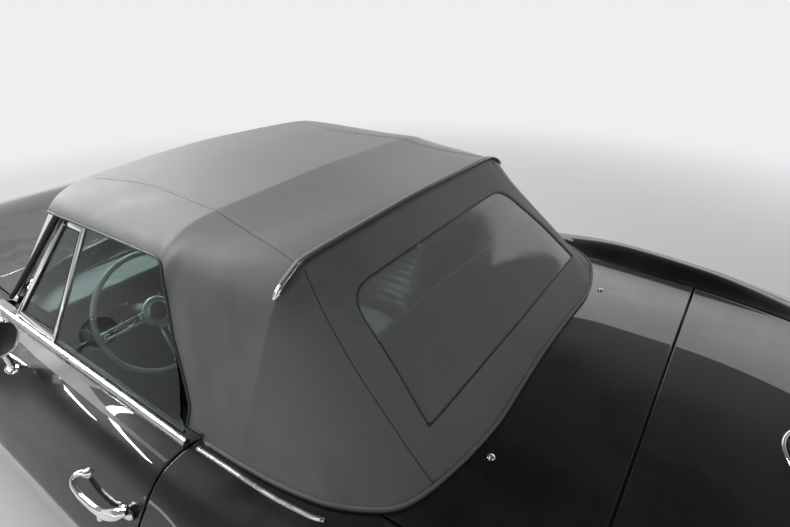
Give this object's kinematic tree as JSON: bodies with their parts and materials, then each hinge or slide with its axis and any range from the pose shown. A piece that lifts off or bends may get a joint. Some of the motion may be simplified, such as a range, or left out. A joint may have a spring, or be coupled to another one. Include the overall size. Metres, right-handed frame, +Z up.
{
  "type": "classic two-seat sports car",
  "caption": "Open two-seat classic sports car with its soft top up, hidden headlamps, opening doors, hood and filler door, and steering and rolling wheels.",
  "frame": {"origin": "on the ground, under the middle of the car's length and width", "axes": "+X to the car's left side, +Y to its rear (it faces -Y), +Z up"},
  "size_m": [1.8226, 4.4605, 1.268],
  "materials": {
    "black_paint": "gloss black lacquer",
    "bright_metal": "polished",
    "tinted_glass": "lightly tinted safety glass",
    "clear_vinyl": "clear flexible vinyl",
    "top_vinyl": "fine grained coated cloth",
    "tyre_rubber": "matt",
    "chassis_paint": "semi gloss black",
    "red_lens": "ribbed lens",
    "amber_lens": "clear lens",
    "interior_trim": "grained",
    "carpet": "loop pile",
    "seat_leather": "fine grained",
    "brushed_spokes": "brushed",
    "engine_iron": "painted casting",
    "exhaust_steel": "dull"
  },
  "bodies": {
    "body": {"front_fenders": "black_paint", "nose_panel": "black_paint", "headlamp_covers": "black_paint", "front_valance": "black_paint", "grille": "bright_metal", "front_lamps": "amber_lens", "front_bumpers": "bright_metal", "cowl_panel": "black_paint", "windshield_frame": "bright_metal", "windshield_glass": "tinted_glass", "dashboard": "interior_trim", "rear_quarters": "black_paint", "rear_deck": "black_paint", "deck_lid": "black_paint", "filler_neck": "chassis_paint", "tail_panel": "black_paint", "tail_lamps": "red_lens", "rear_bumpers": "bright_metal", "rockers": "black_paint", "floor_tub": "carpet", "seats": "seat_leather", "console": "interior_trim", "steering_column": "interior_trim", "top_fabric": "top_vinyl", "rear_window": "clear_vinyl", "top_molding": "bright_metal", "top_frame": "chassis_paint", "chassis_frame": "chassis_paint", "engine": "engine_iron", "front_suspension": "chassis_paint", "rear_suspension": "chassis_paint", "exhausts": "exhaust_steel"},
    "hood": {"hood": "black_paint"},
    "filler_door": {"filler_door": "black_paint"},
    "door_left": {"door_left": "black_paint", "door_glass_left": "tinted_glass", "door_trim_left": "bright_metal"},
    "door_right": {"door_right": "black_paint", "door_glass_right": "tinted_glass", "door_trim_right": "bright_metal"},
    "steering_wheel": {"steering_wheel": "brushed_spokes"},
    "knuckle_left": {"knuckle_left": "chassis_paint"},
    "knuckle_right": {"knuckle_right": "chassis_paint"},
    "wheel_front_left": {"tyre_front_left": "tyre_rubber", "wheel_front_left": "bright_metal"},
    "wheel_front_right": {"tyre_front_right": "tyre_rubber", "wheel_front_right": "bright_metal"},
    "wheel_rear_left": {"tyre_rear_left": "tyre_rubber", "wheel_rear_left": "bright_metal"},
    "wheel_rear_right": {"tyre_rear_right": "tyre_rubber", "wheel_rear_right": "bright_metal"}
  },
  "joints": [
    {"name": "steer_left", "type": "hinge", "parent": "body", "child": "knuckle_left", "pos_m": [0.65, -1.355, 0.338], "axis": [0, 0, 1], "range_deg": [-30, 30]},
    {"name": "steer_right", "type": "hinge", "parent": "body", "child": "knuckle_right", "pos_m": [-0.65, -1.355, 0.338], "axis": [0, 0, 1], "range_deg": [-30, 30]},
    {"name": "steering_wheel_turn", "type": "hinge", "parent": "body", "child": "steering_wheel", "pos_m": [0.375, -0.132, 0.805], "axis": [0, 0.9397, 0.342], "range_deg": [-612, 612]},
    {"name": "spin_front_left", "type": "hinge", "parent": "knuckle_left", "child": "wheel_front_left", "pos_m": [0.7215, -1.355, 0.338], "axis": [1, 0, 0], "continuous": true},
    {"name": "spin_front_right", "type": "hinge", "parent": "knuckle_right", "child": "wheel_front_right", "pos_m": [-0.7215, -1.355, 0.338], "axis": [1, 0, 0], "continuous": true},
    {"name": "spin_rear_left", "type": "hinge", "parent": "body", "child": "wheel_rear_left", "pos_m": [0.7315, 1.134, 0.338], "axis": [1, 0, 0], "continuous": true},
    {"name": "spin_rear_right", "type": "hinge", "parent": "body", "child": "wheel_rear_right", "pos_m": [-0.7315, 1.134, 0.338], "axis": [1, 0, 0], "continuous": true},
    {"name": "door_left_hinge", "type": "hinge", "parent": "body", "child": "door_left", "pos_m": [0.85, -0.46, 0.68], "axis": [0, 0, -1], "range_deg": [0, 65]},
    {"name": "door_right_hinge", "type": "hinge", "parent": "body", "child": "door_right", "pos_m": [-0.85, -0.46, 0.68], "axis": [0, 0, 1], "range_deg": [0, 65]},
    {"name": "hood_hinge", "type": "hinge", "parent": "body", "child": "hood", "pos_m": [0, -1.96, 0.725], "axis": [1, 0, 0], "range_deg": [0, 48]},
    {"name": "filler_hinge", "type": "hinge", "parent": "body", "child": "filler_door", "pos_m": [0, 1.5195, 0.87524], "axis": [1, 0, 0], "range_deg": [0, 100]}
  ],
  "couplings": [
    {"joint": "steer_right", "follows": "steer_left", "ratio": 1},
    {"joint": "steering_wheel_turn", "follows": "steer_left", "ratio": 20.4}
  ]
}
